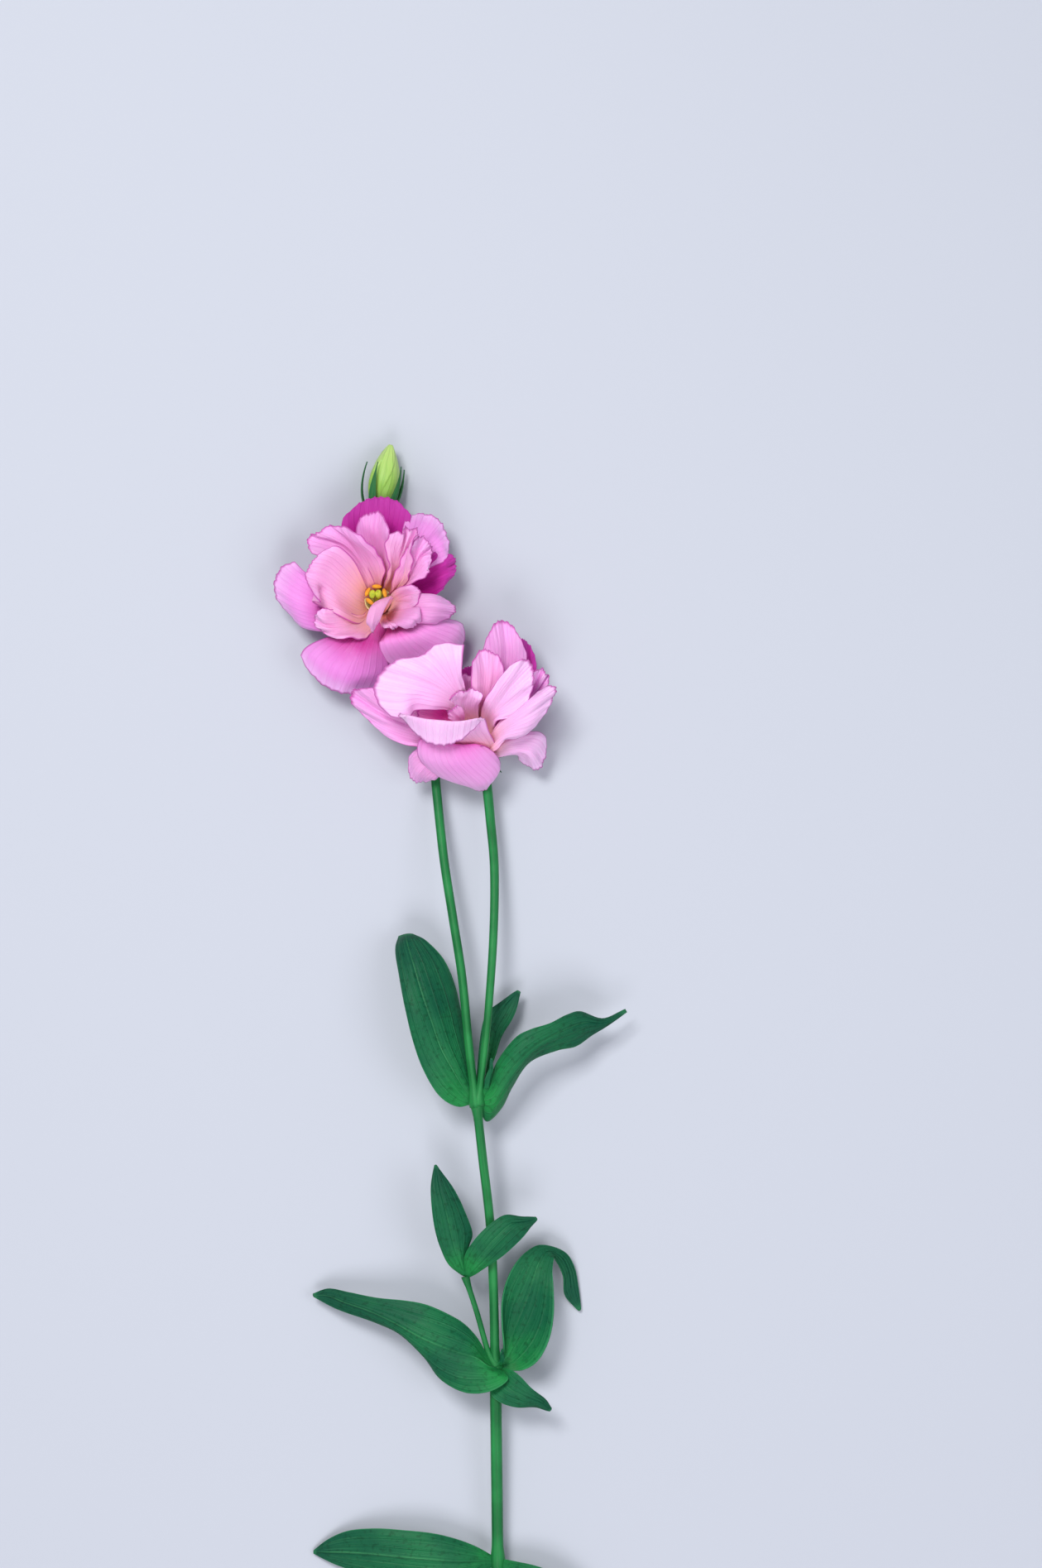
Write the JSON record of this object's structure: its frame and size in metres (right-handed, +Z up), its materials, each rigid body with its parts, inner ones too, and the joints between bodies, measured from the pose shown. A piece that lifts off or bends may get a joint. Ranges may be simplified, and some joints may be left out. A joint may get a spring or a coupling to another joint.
{
  "type": "lisianthus flower stem",
  "caption": "Cut flowering stem lying down: a forked green stem with paired oval leaves, pink double blooms with ruffled petals in layers, and a furled pale bud.",
  "frame": {"origin": "bottom centre of the whole stem's bounding box, on the surface it lies on", "axes": "+Y from the cut end towards the blooms, +Z up from the surface, +X to the right seen from above"},
  "size_m": [0.1344, 0.4777, 0.0422],
  "materials": {
    "leaf_green": "satin plant skin, dark blue-green leaves and bright green stem",
    "petal_pink": "matte petal, light lilac-pink with darker margins",
    "anther_yellow": "matte pollen, orange-yellow",
    "stigma_green": "moist yellow-green",
    "bud_lime": "matte furled petals, pale lime green"
  },
  "bodies": {
    "root": {"leafy_stem": "leaf_green", "left_petals": "petal_pink", "left_stamens": "anther_yellow", "left_pistil": "stigma_green", "right_petals": "petal_pink", "right_stamens": "anther_yellow", "right_pistil": "stigma_green", "bud_petals": "bud_lime"}
  },
  "joints": []
}
